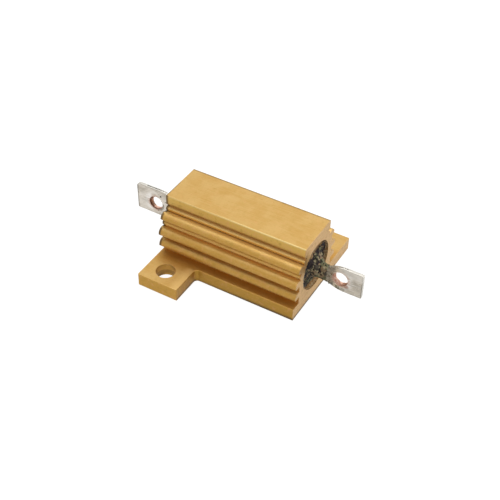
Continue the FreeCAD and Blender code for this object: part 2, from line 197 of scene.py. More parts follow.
class Shader:
    """Short writing for the nodes of one material or world."""

    def __init__(self, owner):
        owner.use_nodes = True
        self.tree = owner.node_tree
        self.tree.nodes.clear()

    def node(self, kind, inputs=None, **attributes):
        """Makes a node and gives its outputs. An input is a value or another node's output."""
        made = self.tree.nodes.new("ShaderNode" + kind)
        for name, value in attributes.items():
            setattr(made, name, value)
        for name, value in (inputs or {}).items():
            socket = made.inputs[name]
            if isinstance(value, bpy.types.NodeSocket):
                self.tree.links.new(value, socket)
            else:
                socket.default_value = value
        return made.outputs

    def calc(self, operation, first, second=0.0, clamp=False):
        inputs = {0: first, 1: second}
        return self.node("Math", inputs, operation=operation, use_clamp=clamp)[0]

    def chain(self, operation, values):
        total = values[0]
        for value in values[1:]:
            total = self.calc(operation, total, value)
        return total

    def times(self, *factors):
        return self.chain("MULTIPLY", factors)

    def plus(self, *terms):
        return self.chain("ADD", terms)

    def largest(self, *masks):
        return self.chain("MAXIMUM", masks)

    def without(self, mask):
        """What a mask leaves over."""
        return self.calc("SUBTRACT", 1.0, mask)

    def absolute(self, value):
        return self.calc("ABSOLUTE", value)

    def fade(self, value, low, high, to_low=0.0, to_high=1.0):
        """to_low where the value is at low, to_high where it is at high, and a soft step between.

        low may be the greater of the two."""
        inputs = {"Value": value, "From Min": low, "From Max": high,
                  "To Min": to_low, "To Max": to_high}
        return self.node("MapRange", inputs, interpolation_type="SMOOTHSTEP")[0]

    def plateau(self, value, low, full_from, full_to, high):
        """1 from full_from to full_to, and 0 below low and above high."""
        return self.times(self.fade(value, low, full_from), self.fade(value, high, full_to))

    def split(self, vector):
        return tuple(self.node("SeparateXYZ", {0: vector}))

    def distance(self, first, second):
        """Distance from a line; first and second are (coordinate, the line's place in it) pairs."""
        legs = [self.calc("SUBTRACT", value, place) for value, place in (first, second)]
        return self.calc("SQRT", self.plus(*[self.times(leg, leg) for leg in legs]))

    def mix(self, factor, first, second):
        return self.node("Mix", {0: factor, 6: first, 7: second}, data_type="RGBA")[2]

    def coats(self, colour, *rows):
        """A colour under coats of (mask, strength, tint as 0 to 255), the last one on top."""
        for mask, strength, tint in rows:
            factor = self.times(mask, strength) if strength < 1 else mask
            colour = self.mix(factor, colour, srgb(*tint))
        return colour

    def seen(self, mirrored):
        """1 to the camera and through clear things, and as much as mirrored says in reflections."""
        path = self.node("LightPath")
        return self.largest(path["Is Camera Ray"], self.times(path["Is Glossy Ray"], mirrored),
                            path["Is Transmission Ray"])


class Surface(Shader):
    """A material, with the position on its object in millimetres, and that position's x, y, z."""

    def __init__(self, name):
        self.material = bpy.data.materials.new(name)
        super().__init__(self.material)
        place = self.node("TexCoord")["Object"]
        self.position = self.stretched(place, (1 / MM, 1 / MM, 1 / MM))
        self.x, self.y, self.z = self.split(self.position)

    def stretched(self, vector, scale):
        return self.node("Mapping", {"Vector": vector, "Scale": scale})[0]

    def cloud(self, scale, detail, roughness, stretch=None):
        """Soft noise, in the position multiplied by stretch where that is given."""
        vector = self.stretched(self.position, stretch) if stretch else self.position
        inputs = {"Vector": vector, "Scale": scale, "Detail": detail, "Roughness": roughness}
        return self.node("TexNoise", inputs)["Fac"]

    def cells(self, scale, push_scale, push):
        """Three random draws from 0 to 1, each the same all over one cell.

        A soft noise pushes the position about, so that the cells lose their straight sides."""
        inputs = {"Vector": self.position, "Scale": push_scale, "Detail": 2.0}
        way = self.node("TexNoise", inputs)["Color"]
        way = self.node("VectorMath", {0: way, 1: (0.5, 0.5, 0.5)}, operation="SUBTRACT")[0]
        way = self.node("VectorMath", {0: way, "Scale": push}, operation="SCALE")[0]
        vector = self.node("VectorMath", {0: self.position, 1: way}, operation="ADD")[0]
        return self.split(self.node("TexVoronoi", {"Vector": vector, "Scale": scale})["Color"])

    def finish(self, inputs, height, strength, depth):
        """Ends the material with its shader's inputs, and a bump of this height map and depth."""
        bump = {"Height": height, "Strength": strength, "Distance": depth * MM}
        normal = self.node("Bump", bump)[0]
        shader = self.node("BsdfPrincipled", {**inputs, "Normal": normal})
        self.node("OutputMaterial", {"Surface": shader[0]})
        return self.material


# Materials

class Anodised(Surface):
    """Gold anodised extrusion: drawn streaks, sawn ends, milled ears, worn edges with painted
    highlights, a stained bore made pale as painted light, and painted shade and light on parts of
    the form.
    """

    EDGE_WIDTH = 0.22

    def __init__(self):
        super().__init__("gold_anodised_aluminium")
        fade, times = self.fade, self.times

        # How far the surface faces along X, Y and Z, from 0 to 1, with its edges rounded over
        self.flat = self.node("NewGeometry")["Normal"]
        self.rounded = self.node("Bevel", {"Radius": self.EDGE_WIDTH * MM}, samples=8)[0]
        facing = [self.absolute(part) for part in self.split(self.rounded)]
        self.endways, self.sideways, self.level = facing
        at_end = fade(self.absolute(self.x), HALF_LENGTH - 0.6, HALF_LENGTH - 0.4)
        self.at_top = fade(self.z, BODY_HEIGHT - 0.45, BODY_HEIGHT - 0.25)
        self.sawn = times(fade(self.endways, 0.12, 0.45), at_end)
        self.milled = times(fade(self.endways, 0.5, 0.9), self.without(at_end))
        self.from_axis = self.distance((self.y, 0.0), (self.z, BORE_HEIGHT))
        self.bore = times(fade(self.from_axis, BORE_RADIUS + 0.06, BORE_RADIUS + 0.02),
                          self.without(self.sawn))

        # Both ears read as one: distance out from the body's middle, and along it towards the ear
        self.out = self.absolute(self.y)
        self.along = times(self.x, self.calc("SIGN", self.y))
        from_hole = self.distance((self.along, EAR_HOLE[0]), (self.out, EAR_HOLE[1]))
        self.drilled = times(fade(from_hole, EAR_HOLE_RADIUS + 0.1, EAR_HOLE_RADIUS + 0.04),
                             fade(self.level, 0.9, 0.6))

        self.specks = self.cloud(3.2, 4.0, 0.65)
        self.streaks = self.cloud(1.0, 3.0, 0.6, (0.35, 7.0, 7.0))

    def skin(self):
        """The anodised skin: its own tints, then painted shade and painted light that set each part
        of the form apart, and the ears' tool marks and drilled holes.
        """
        fade, times, z, out = self.fade, self.times, self.z, self.out
        patches = self.cloud(0.45, 3.0, 0.55)
        chatter = self.cloud(1.0, 2.0, 0.6, (1.0, 5.0, 0.6))
        side = times(fade(self.level, 0.97, 0.55), fade(z, 8.6, 8.0))
        # Painted shade on the ear tops next to the body
        base_top_painted_shade = times(fade(out, 7.4, 5.6), fade(z, BASE_THICKNESS + 0.32, BASE_THICKNESS + 0.12),
                         fade(self.level, 0.6, 0.9))
        # Painted light: the slab's sides paler and yellower, most towards the top
        slab_painted_light = times(fade(self.level, 0.6, 0.2), fade(z, 8.1, 8.4), fade(z, 8.3, 9.4, 0.45, 1.0))
        # Painted shade along the bottom of the slab's sides
        under_slab_painted_shade = self.plateau(z, 8.15, 8.3, 8.5, 8.75)
        tool_marks = times(self.milled, fade(chatter, 0.4, 0.62, 0.15, 0.65),
                           self.without(self.drilled), fade(z, 1.7, 0.6, 0.5, 1.0))
        # Painted shade just under the ear holes' top rims, and a darker band low in their walls
        hole_rim_shade_and_low_band = self.largest(fade(z, BASE_THICKNESS - 0.28, BASE_THICKNESS - 0.12, 0.0, 0.3),
                              self.plateau(z, 0.24, 0.36, 0.75, 1.0))
        # Painted light on the lower rib and the groove beside it, and on the upper rib and the neck
        # above it
        lower_rib_painted_light = times(self.plateau(z, 5.42, 5.52, 6.12, 6.22), fade(out, 4.75, 4.45))
        upper_rib_painted_light = times(self.plateau(z, 7.4, 7.5, 8.1, 8.2), fade(out, 4.25, 4.0))
        # A paler band along the ear tops' edges towards the body's middle: a burr, with a painted
        # highlight
        ear_edge_burr_and_highlight = times(fade(self.along, 5.6, 4.5), fade(out, 5.7, 6.1), fade(self.level, 0.6, 0.9))
        gold = self.mix(fade(patches, 0.35, 0.65), srgb(210, 166, 88), srgb(217, 177, 104))
        return self.coats(
            gold,
            (fade(self.specks, 0.52, 0.75), 0.5, (198, 150, 70)),
            (fade(self.streaks, 0.4, 0.72), 0.42, (222, 186, 116)),
            # Painted shade: faces turned sideways below the slab darker and browner, more so near
            # the bottom
            (times(side, fade(self.specks, 0.3, 0.6, 0.45, 0.75)), 1.0, (207, 155, 58)),
            (times(side, fade(z, 2.2, 1.5)), 0.5, (210, 160, 46)),
            (base_top_painted_shade, 0.6, (196, 136, 40)),
            (slab_painted_light, 1.0, (232, 192, 98)),
            (under_slab_painted_shade, 0.7, (164, 116, 46)),
            (tool_marks, 1.0, (166, 120, 66)),
            (self.drilled, 0.3, (255, 210, 120)),
            (times(hole_rim_shade_and_low_band, self.drilled), 0.42, (104, 66, 28)),
            (lower_rib_painted_light, 0.55, (255, 218, 140)),
            (upper_rib_painted_light, 0.4, (255, 218, 140)),
            (ear_edge_burr_and_highlight, 0.6, (244, 206, 132)))

    def sawn_end(self):
        """The ends' bare cut, with a darker patch on the near side's upper fins."""
        fade = self.fade
        saw = self.cloud(1.0, 2.0, 0.6, (1.0, 0.5, 9.0))
        darker_patch = self.times(fade(self.y, -2.5, -3.0), fade(self.z, 8.9, 8.3),
                            fade(self.z, 5.4, 6.4), fade(self.specks, 0.3, 0.5, 0.5, 1.0))
        cut = self.mix(fade(saw, 0.35, 0.7), srgb(213, 170, 106), srgb(224, 187, 126))
        return self.coats(cut, (fade(self.specks, 0.5, 0.68), 0.5, (190, 142, 76)),
                          (darker_patch, 0.7, (156, 116, 54)))

    def tarnished(self, colour):
        """Mild reddish and greenish patches, fewer on level faces and none in the bore."""
        tarnish = self.cloud(1.7, 4.0, 0.7)
        spread = self.times(self.fade(self.level, 0.97, 0.8, 0.35, 1.0), self.without(self.bore))
        return self.coats(
            colour,
            (self.times(self.fade(tarnish, 0.53, 0.7), spread), 0.4, (236, 176, 124)),
            (self.times(self.fade(tarnish, 0.47, 0.32), spread), 0.4, (180, 140, 50)))

    def worn_and_highlit(self, colour):
        """Pale wear with a painted highlight where the rounded normal leaves the flat one, and a
        painted highlight along the top edges.
        """
        fade, times = self.fade, self.times
        vectors = {0: self.rounded, 1: self.flat}
        agreement = self.node("VectorMath", vectors, operation="DOT_PRODUCT")["Value"]
        # Pale wear with a painted highlight on rounded edges
        worn_and_highlit_edge = times(fade(agreement, 0.985, 0.87), fade(self.specks, 0.42, 0.62, 0.1, 0.7),
                     fade(self.endways, 0.5, 0.2))
        # Painted highlight along the top edges, stronger towards the right end
        arris_highlight = times(fade(times(self.level, self.sideways), 0.1, 0.4), self.at_top,
                      fade(self.streaks, 0.2, 0.6, 0.5, 1.0), fade(self.x, -10.0, 2.0, 0.35, 1.0))
        return self.coats(colour, (worn_and_highlit_edge, 1.0, (234, 208, 158)), (arris_highlight, 1.0, (240, 214, 146)))

    def outlined(self, colour):
        """Painted shade along the lower and far rims, darker lines at the fins' left ends, a
        painted contact shadow along the base's foot, and compound spilt round the bore.
        """
        fade, times, x, y, z = self.fade, self.times, self.x, self.y, self.z
        end_face = self.absolute(self.split(self.flat)[0])
        over_body = fade(self.out, 6.2, 5.9)
        fin_ends = times(fade(x, 0.4 - HALF_LENGTH, 0.15 - HALF_LENGTH),
                         fade(self.level, 0.995, 0.95), fade(z, 2.1, 2.3),
                         fade(end_face, 0.6, 0.3), fade(y, 0.5, -0.5))
        milled_foot = times(self.milled, fade(z, 0.5, 0.2))
        base = times(fade(z, 0.5, 0.25), over_body, fade(x, -3.0, 6.0, 0.4, 1.0))
        far_top = times(self.at_top, fade(y, 2.9, 3.2), fade(self.level, 0.3, 0.7))
        # Painted shade along the lower and far rims, with darker lines at the fins' left ends
        rim_shade_and_end_lines = times(self.largest(fin_ends, milled_foot, base, far_top),
                     fade(self.specks, 0.3, 0.6, 0.45, 0.8))
        # A painted contact shadow along the base's bottom edge
        contact_shadow = times(fade(z, 0.24, 0.1), over_body, fade(x, -6.0, 2.0))
        ragged = self.plus(self.from_axis, fade(self.specks, 0.3, 0.7, -0.1, 0.12))
        spilt = times(fade(ragged, BORE_RADIUS + 0.16, BORE_RADIUS + 0.08), fade(y, 0.0, -1.6),
                      fade(z, 2.6, 3.8), self.sawn)
        return self.coats(colour, (rim_shade_and_end_lines, 1.0, (118, 86, 42)),
                          (self.largest(fin_ends, contact_shadow), 0.6, (88, 68, 40)),
                          (spilt, 1.0, (50, 42, 44)))

    def made(self):
        fade, times = self.fade, self.times
        colour = self.tarnished(self.mix(self.sawn, self.skin(), self.sawn_end()))
        # A near-white bore wall: a film of residue, and painted light in the shaded recess
        bore_wall_film_and_light = self.mix(fade(self.specks, 0.4, 0.62), srgb(255, 234, 190), srgb(206, 156, 96))
        colour = self.outlined(self.worn_and_highlit(self.mix(self.bore, colour, bore_wall_film_and_light)))
        grain = self.cloud(11.0, 2.0, 0.7)
        relief = self.plus(times(grain, 0.5), times(self.streaks, 0.6), times(self.specks, 0.5))
        inputs = {"Base Color": colour, "Metallic": fade(self.bore, 0.0, 1.0, 0.55, 0.1),
                  "Roughness": fade(grain, 0.2, 0.8, 0.4, 0.56)}
        return self.finish(inputs, relief, 0.35, 0.03)


class Tinned(Surface):
    """Dull tin plate: smeared, dark along its edges, with painted highlights on its rims and beyond
    the holes, crusted near the body, coppery at holes.
    """

    def __init__(self):
        super().__init__("tinned_copper_plate")
        self.outward = self.absolute(self.x)
        self.smears = self.cloud(1.0, 4.0, 0.6, (0.8, 2.0, 2.2))
        self.spots = self.cloud(6.0, 3.0, 0.6)
        sideways = self.split(self.node("NewGeometry")["Normal"])[1]
        self.rim = self.fade(self.absolute(sideways), 0.75, 0.35)

    def by_side(self, left, right):
        """One value on the left-hand terminal, and another on the right-hand one."""
        return self.fade(self.x, -1.0, 1.0, left, right)

    def plate(self):
        """The tin itself, with a painted highlight on its rims; the left-hand terminal is paler."""
        fade, right = self.fade, self.by_side(0.0, 1.0)
        scratches = self.cloud(1.0, 2.0, 0.6, (1.2, 9.0, 9.0))
        bright = self.mix(right, srgb(222, 214, 202), srgb(198, 189, 174))
        grey = self.mix(right, srgb(194, 186, 172), srgb(170, 162, 148))
        return self.coats(
            self.mix(fade(self.smears, 0.35, 0.68), bright, grey),
            (fade(scratches, 0.55, 0.72), 0.6, (232, 229, 222)),
            (fade(self.spots, 0.6, 0.74), 0.55, (138, 126, 112)),
            # Painted highlight on the blades' rims
            (self.rim, 0.85, (214, 211, 202)))

    def outlined(self, colour):
        """Dark lines along the blades' edges, a painted highlight beyond the holes, and copper
        round them.
        """
        fade, times = self.fade, self.times
        half = BLADE_HALF_THICKNESS
        lines = [times(self.rim, fade(self.absolute(self.y), half - 0.14, half - 0.06),
                       self.by_side(0.15, 0.7))]
        lights, holes = [], []
        on_face = self.without(self.rim)
        for lead in (RIGHT, LEFT):
            place = times(self.x, lead.side)
            middle = BORE_HEIGHT + lead.rise
            from_hole = self.distance((self.x, lead.side * lead.hole),
                                      (self.z, middle + lead.hole_lift))
            holes.append(fade(from_hole, HOLE_RADIUS + 0.5, HOLE_RADIUS))
            lights.append(times(fade(from_hole, 2.0, 1.3),
                                fade(place, lead.end - 2.6, lead.end - 2.0)))
            wide = 0.22 - 0.07 * lead.side
            end_line = fade(place, lead.end - wide, lead.end - 0.4 * wide)
            height = self.absolute(self.calc("SUBTRACT", self.z, middle))
            level_lines = times(fade(height, lead.blade - 0.15, lead.blade - 0.06),
                                fade(place, 12.0, 13.0), 0.75 + 0.25 * lead.side)
            lines += [times(end_line, on_face), times(level_lines, on_face)]
        line = times(self.largest(*lines), fade(self.smears, 0.3, 0.6, 0.5, 0.75))
        # A painted highlight on each blade beyond its hole
        painted_highlight = times(self.calc("ADD", *lights, clamp=True),
                       fade(self.smears, 0.65, 0.35, 0.3, 0.85))
        thin = times(self.calc("ADD", *holes, clamp=True), fade(self.smears, 0.4, 0.6))
        return self.coats(colour, (line, 1.0, (120, 112, 100)), (painted_highlight, 1.0, (242, 238, 232)),
                          (thin, 0.6, (200, 156, 132)))

    def marked(self, colour):
        """Single marks: a pale upper edge and a burnt spot on the right, a shadow on the left."""
        fade, x, z = self.fade, self.x, self.z
        upper = self.times(fade(z, 4.9, 5.2), fade(x, 12.8, 13.4))
        burnt = fade(self.distance((x, 14.25), (z, 3.52)), 0.45, 0.15)
        shadow = self.times(fade(self.distance((x, -13.4), (z, 4.8)), 1.05, 0.95),
                            fade(x, -13.3, -13.0), fade(z, 5.3, 4.9))
        return self.coats(colour, (upper, 0.5, (222, 217, 208)), (burnt, 0.7, (146, 100, 78)),
                          (shadow, 0.7, (110, 102, 78)))

    def made(self):
        fade, times, spots = self.fade, self.times, self.spots
        colour = self.marked(self.outlined(self.plate()))

        # Crust of compound and flux that thins out towards the hole, and along the lower edge
        reach = self.plus(self.outward, fade(self.smears, 0.3, 0.7, -0.35, 0.35),
                          fade(self.x, 1.0, -1.0, 0.0, 1.3))
        crust = fade(reach, 13.0, 12.3)
        first, second, third = self.cells(4.6, 5.0, 0.25)
        dirt = self.mix(fade(spots, 0.35, 0.62), srgb(178, 163, 138), srgb(128, 113, 90))
        dirt = self.coats(dirt, (fade(first, 0.66, 0.74), 1.0, (62, 54, 42)),
                          (fade(second, 0.7, 0.76), 1.0, (204, 196, 170)))
        cover = times(crust, fade(self.outward, 11.4, 12.2, 1.0, 0.5),
                      fade(spots, 0.2, 0.5, 0.7, 1.0))
        colour = self.mix(cover, colour, dirt)
        pale = times(fade(self.distance((self.x, 13.37), (self.z, 4.1)), 2.2, 1.4),
                     fade(self.outward, 13.4, 12.9), fade(spots, 0.3, 0.6, 0.9, 0.4))
        lower = self.plus(self.z, fade(self.outward, 11.5, 14.5, 0.0, 0.5))
        splash = times(fade(lower, 3.55, 3.2), fade(self.outward, 14.6, 13.4),
                       fade(third, 0.4, 0.5))
        colour = self.coats(colour, (pale, 0.8, (218, 200, 170)), (splash, 0.85, (84, 84, 66)))
        relief = self.plus(self.smears, times(spots, fade(crust, 0.0, 1.0, 0.5, 2.0)))
        inputs = {"Base Color": colour, "Metallic": fade(crust, 0.0, 1.0, 0.8, 0.1),
                  "Roughness": fade(self.smears, 0.3, 0.7, 0.3, 0.48)}
        return self.finish(inputs, relief, 0.4, 0.05)


def copper_material():
    """Wall of a punched hole: dark at the front rim, torn and brighter inside."""
    s = Surface("bare_copper")
    torn = s.cloud(1.0, 3.0, 0.65, (5.0, 2.5, 5.0))
    front = s.times(s.fade(s.y, 0.06, -0.12), s.fade(s.x, -1.0, 1.0, 1.0, 0.55),
                    s.fade(torn, 0.3, 0.6, 1.0, 0.75))
    colour = s.mix(s.fade(torn, 0.35, 0.7), srgb(224, 164, 134), srgb(255, 226, 206))
    colour = s.coats(colour, (front, 1.0, (104, 52, 28)))
    inputs = {"Base Color": colour, "Metallic": 0.4, "Roughness": 0.42}
    return s.finish(inputs, torn, 0.5, 0.04)


def compound_material():
    """Black moulding compound broken up by grey-green and tan grains, thickest near the leads."""
    s = Surface("moulding_compound_rough")
    grains = s.cells(1.6, 1.6, 0.7)
    small = s.cells(3.4, 4.0, 0.3)
    fine = s.cloud(7.0, 4.0, 0.65)
    lumps = s.cloud(1.1, 3.0, 0.6)
    near = s.fade(s.distance((s.y, 0.0), (s.z, BORE_HEIGHT - 0.5)), 3.1, 1.2)
    share = s.plus(s.times(near, 0.2), s.fade(lumps, 0.35, 0.65, -0.08, 0.1))
    grey, tan, green, pale = [s.plus(draw, share) for draw in (*grains, small[0])]
    pits = s.fade(small[1], 0.66, 0.72)

    # A tan film where the fill meets the bore: low at the sides, along the bottom, and at the top
    from_axis = s.distance((s.y, 0.0), (s.z, BORE_HEIGHT))
    film = s.largest(s.times(s.fade(from_axis, 2.95, 3.12), s.fade(s.z, 3.3, 2.6)),
                     s.fade(s.z, 2.35, 1.95, 0.0, 0.9),
                     s.times(s.fade(from_axis, 2.3, 2.9), s.fade(s.z, 6.7, 7.3)))

    colour = s.mix(s.fade(fine, 0.35, 0.65), srgb(26, 16, 18), srgb(60, 45, 46))
    on_lead = s.mix(s.fade(fine, 0.4, 0.6), srgb(84, 72, 55), srgb(152, 136, 112))
    colour = s.mix(s.fade(s.absolute(s.x), 10.6, 11.5, 0.0, 0.8), colour, on_lead)
    colour = s.coats(
        colour,
        (s.fade(grey, 0.7, 0.78), 0.9, (96, 88, 74)),
        (s.fade(tan, 0.84, 0.9), 1.0, (176, 150, 118)),
        (s.fade(green, 0.92, 0.98), 1.0, (132, 132, 100)),
        (s.fade(pale, 0.94, 0.99), 1.0, (196, 182, 144)),
        (pits, 0.85, (16, 11, 10)),
        (s.times(film, s.fade(fine, 0.3, 0.5, 0.5, 1.0)), 1.0, (196, 156, 104)))
    inputs = {"Base Color": colour, "Specular IOR Level": 0.2,
              "Roughness": s.fade(lumps, 0.3, 0.7, 0.5, 0.8)}
    return s.finish(inputs, fine, 0.6, 0.06)


def plain_material(name, low, high, metallic, roughness, scale):
    """Hidden parts: one tint with a fine mottle, from low to high."""
    s = Surface(name)
    mottle = s.cloud(scale, 4.0, 0.6)
    colour = s.mix(s.fade(mottle, 0.35, 0.65), srgb(*low), srgb(*high))
    inputs = {"Base Color": colour, "Metallic": metallic, "Roughness": roughness}
    return s.finish(inputs, mottle, 0.25, 0.03)


def dress(name, material):
    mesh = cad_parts[name].data
    mesh.materials.clear()
    mesh.materials.append(material)


# Arguments of plain_material for each hidden node
HIDDEN_FINISHES = {
    "ceramic_core": ("steatite", (214, 208, 192), (232, 228, 216), 0.0, 0.6, 4.0),
    "resistance_winding": ("resistance_alloy", (150, 140, 128), (186, 178, 166), 0.9, 0.35, 6.0),
    "end_cap_left": ("cap_plate_left", (168, 166, 160), (200, 198, 192), 0.9, 0.35, 3.0),
    "end_cap_right": ("cap_plate_right", (168, 166, 160), (200, 198, 192), 0.9, 0.35, 3.0),
}

dress("housing", Anodised().made())
for name, finish in HIDDEN_FINISHES.items():
    dress(name, plain_material(*finish))


# Meshes of the terminals

END_ROUNDING = 0.05
CORNER = 0.12
CLIP_LENGTH = 0.35

# Heights of the mesh lines across a blade, from -1 to 1, and close together at its edges
EDGE_LEVELS = [1 - gap for gap in (0.0, 0.0005, 0.002, 0.007, 0.02, 0.045, 0.08)]
MIDDLE_STEPS = 22
MIDDLE_LEVELS = [EDGE_LEVELS[-1] * (1 - 2 * i / MIDDLE_STEPS) for i in range(1, MIDDLE_STEPS)]
LEVELS = [-level for level in EDGE_LEVELS] + MIDDLE_LEVELS[::-1] + EDGE_LEVELS[::-1]

# Places of the mesh lines along it: the lead inside the body, the pressed part, and the end
HIDDEN_PLACES = [CAP_FACE + 0.02, 8.0, 9.0]
PRESSED_FROM = 9.4
PRESSED_STEP = 0.11
END_GAPS = [0.16, 0.12, 0.09, 0.06, 0.035, 0.015, 0.004, 0.0]
STEPS_TO_END = 9

# The block of the blade round the hole, this far to each side of its centre, has a mesh of rings
# instead. Their shares run from 0 at the hole's rounded rim to 1 at the block's border.
BLOCK = 1.5
BLOCK_STEPS = 26
RIM = 0.05
RING_SHARES = [0.0, 0.12, 0.3, 0.5, 0.7, 0.85, 0.93, 0.97, 0.99, 0.998, 1.0]
WALL_DEPTHS = (1.0, 0.7, 0.35, 0.0, -0.35, -0.7, -1.0)
WALL_HALF = BLADE_HALF_THICKNESS - 0.03
TIN, COPPER = 0, 1


def around(first, second):
    """Corners of the quads between two closed rings."""
    return zip(first, first[1:] + first[:1], second[1:] + second[:1], second)


def set_back(radius, place, end):
    """How far a corner of this radius stands back, at a place near the end that it rounds."""
    past = max(0.0, place - (end - radius))
    return radius - math.sqrt(max(0.0, radius ** 2 - past ** 2))


class Blade:
    """Mesh of one terminal: a front and a back skin, and a punched hole through both."""

    def __init__(self, lead):
        self.lead = lead
        self.bm = bmesh.new()
        self.skins()
        self.hole()
        bmesh.ops.remove_doubles(self.bm, verts=self.bm.verts, dist=0.0005)

    def height(self, place, level):
        """Height of a point at a level from -1 to 1 across the blade, its corners rounded."""
        lead = self.lead
        reach = lead.half_width(place) - set_back(CORNER, place, lead.end)
        if level > 0:
            reach -= lead.clip * smooth(lead.end - CLIP_LENGTH, lead.end, place)
        return level * reach

    def vertex(self, place, up, face):
        """A point of the one skin (face 1) or the other (-1); waviness moves both alike."""
        lead = self.lead
        reach = abs(self.height(place, 1.0 if up > 0 else -1.0))
        share = min(1.0, abs(up) / reach)
        power = lead.power(place)
        half = lead.half_thickness(place) * (1 - share ** power) ** (1 / power)
        half -= set_back(END_ROUNDING, place, lead.end) * min(1.0, half / 0.1)
        wave = 0.012 * rough(Vector((place * lead.side, up, 0.0)), 0.9, 2)
        wave *= smooth(12.0, 13.0, place)
        return self.bm.verts.new(lead.to_part(place, face * max(0.0, half) + wave, up))

    def quad(self, a, b, c, d, material=TIN):
        corners = list(dict.fromkeys((a, b, c, d)))
        if len(corners) > 2:
            self.bm.faces.new(corners).material_index = material

    def skins(self):
        hole, end = self.lead.hole, self.lead.end
        steps = int((hole - BLOCK - PRESSED_FROM) / PRESSED_STEP)
        before = HIDDEN_PLACES + spaced(PRESSED_FROM, hole - BLOCK, steps)
        after = spaced(hole + BLOCK, end - END_GAPS[0], STEPS_TO_END)
        after += [end - gap for gap in END_GAPS[1:]]

        def sheet(places, face):
            return [[self.vertex(place, self.height(place, level), face) for level in LEVELS]
                    for place in places]

        fronts = [sheet(before, 1), sheet(after, 1)]
        backs = [sheet(before, -1), sheet(after, -1)]
        for grid in fronts + backs:
            for first, second in zip(grid, grid[1:]):
                for a, b, c, d in zip(first, second, second[1:], first[1:]):
                    self.quad(a, b, c, d)
        for front, back in ((fronts[0][0], backs[0][0]), (fronts[1][-1], backs[1][-1])):
            for a, b, c, d in zip(front, front[1:], back[1:], back):
                self.quad(a, b, c, d)

    def border(self):
        """Points round the block's edge, as (place, height)."""
        start, end = self.lead.hole - BLOCK, self.lead.hole + BLOCK
        across = spaced(start, end, BLOCK_STEPS)[1:-1]
        return ([(start, self.height(start, level)) for level in LEVELS]
                + [(place, self.height(place, 1.0)) for place in across]
                + [(end, self.height(end, level)) for level in reversed(LEVELS)]
                + [(place, self.height(place, -1.0)) for place in reversed(across)])

    def hole(self):
        """Rings over the block that close in on the hole, and its wall from front to back."""
        lead = self.lead
        border = self.border()
        angles = [math.atan2(up, place - lead.hole) for place, up in border]

        def face_ring(face, share):
            radius = HOLE_RADIUS + RIM
            made = []
            for angle, outer in zip(angles, border):
                start = Vector((lead.hole + radius * math.cos(angle),
                                lead.hole_lift + radius * math.sin(angle)))
                point = start.lerp(Vector(outer), share)
                made.append(self.vertex(point.x, point.y, face))
            return made

        def wall_ring(depth):
            """The wall closes in and tears more and more from the camera's side to the far one."""
            made = []
            torn = 0.5 + 0.5 * lead.side * depth
            for angle in angles:
                c, s = math.cos(angle), math.sin(angle)
                tear = (0.012 + 0.05 * torn) * rough(Vector((c, s, 0.6 * depth)), 3.0, 3)
                closing = 0.06 + lead.burr * max(0.0, math.cos(angle - lead.burr_way))
                reach = HOLE_RADIUS - closing * smooth(0.1, 1.0, torn) + tear
                made.append(self.bm.verts.new(lead.to_part(
                    lead.hole + reach * c, depth * WALL_HALF, lead.hole_lift + reach * s)))
            return made

        def bands(rings, material):
            for first, second in zip(rings, rings[1:]):
                for corners in around(first, second):
                    self.quad(*corners, material)

        front, back = [[face_ring(face, share) for share in RING_SHARES] for face in (1, -1)]
        bands(front, TIN)
        bands(back, TIN)
        bands([front[0]] + [wall_ring(depth) for depth in WALL_DEPTHS] + [back[0]], COPPER)


tin, copper = Tinned().made(), copper_material()
for lead in (RIGHT, LEFT):
    piece(lead.node + "_blade", Blade(lead).bm, [tin, copper], lead.node, 55)


# Moulding compound: rough fill in both mouths of the bore, creeping out along the leads

SPOKES = 200
ANGLES = [2 * math.pi * k / SPOKES for k in range(SPOKES)]
FACE_RINGS = 34
FILL_RADIUS = BORE_RADIUS - 0.02
MOUND_RADIUS = 1.25
# How deep the fill's face lies in the bore's mouth, how much deeper at the bottom, and how far that
# leans to one side; then how far it swells out towards the lead, and rises once more beside it
RECESS = 0.13
MORE_BELOW = 0.39
LEAN = math.radians(35)
SWELL = 0.32
MOUND = 0.6
FACE_GRIT = 0.34
CREEP_RINGS = 46
CREEP_FROM = HALF_LENGTH + 0.75
CRUMBS = 46
CRUMBS_BEFORE_HOLE = 1.95
CRUMBS_STRETCH = 1.6


def superellipse(angle, reach_y, reach_z, power):
    c, s = math.cos(angle), math.sin(angle)
    y = math.copysign(abs(s) ** (2 / power), s) * reach_y
    z = math.copysign(abs(c) ** (2 / power), c) * reach_z
    return y, z


def lowness(angle):
    """0 at the top of a ring and 1 at its bottom."""
    return 0.5 - 0.5 * math.cos(angle)


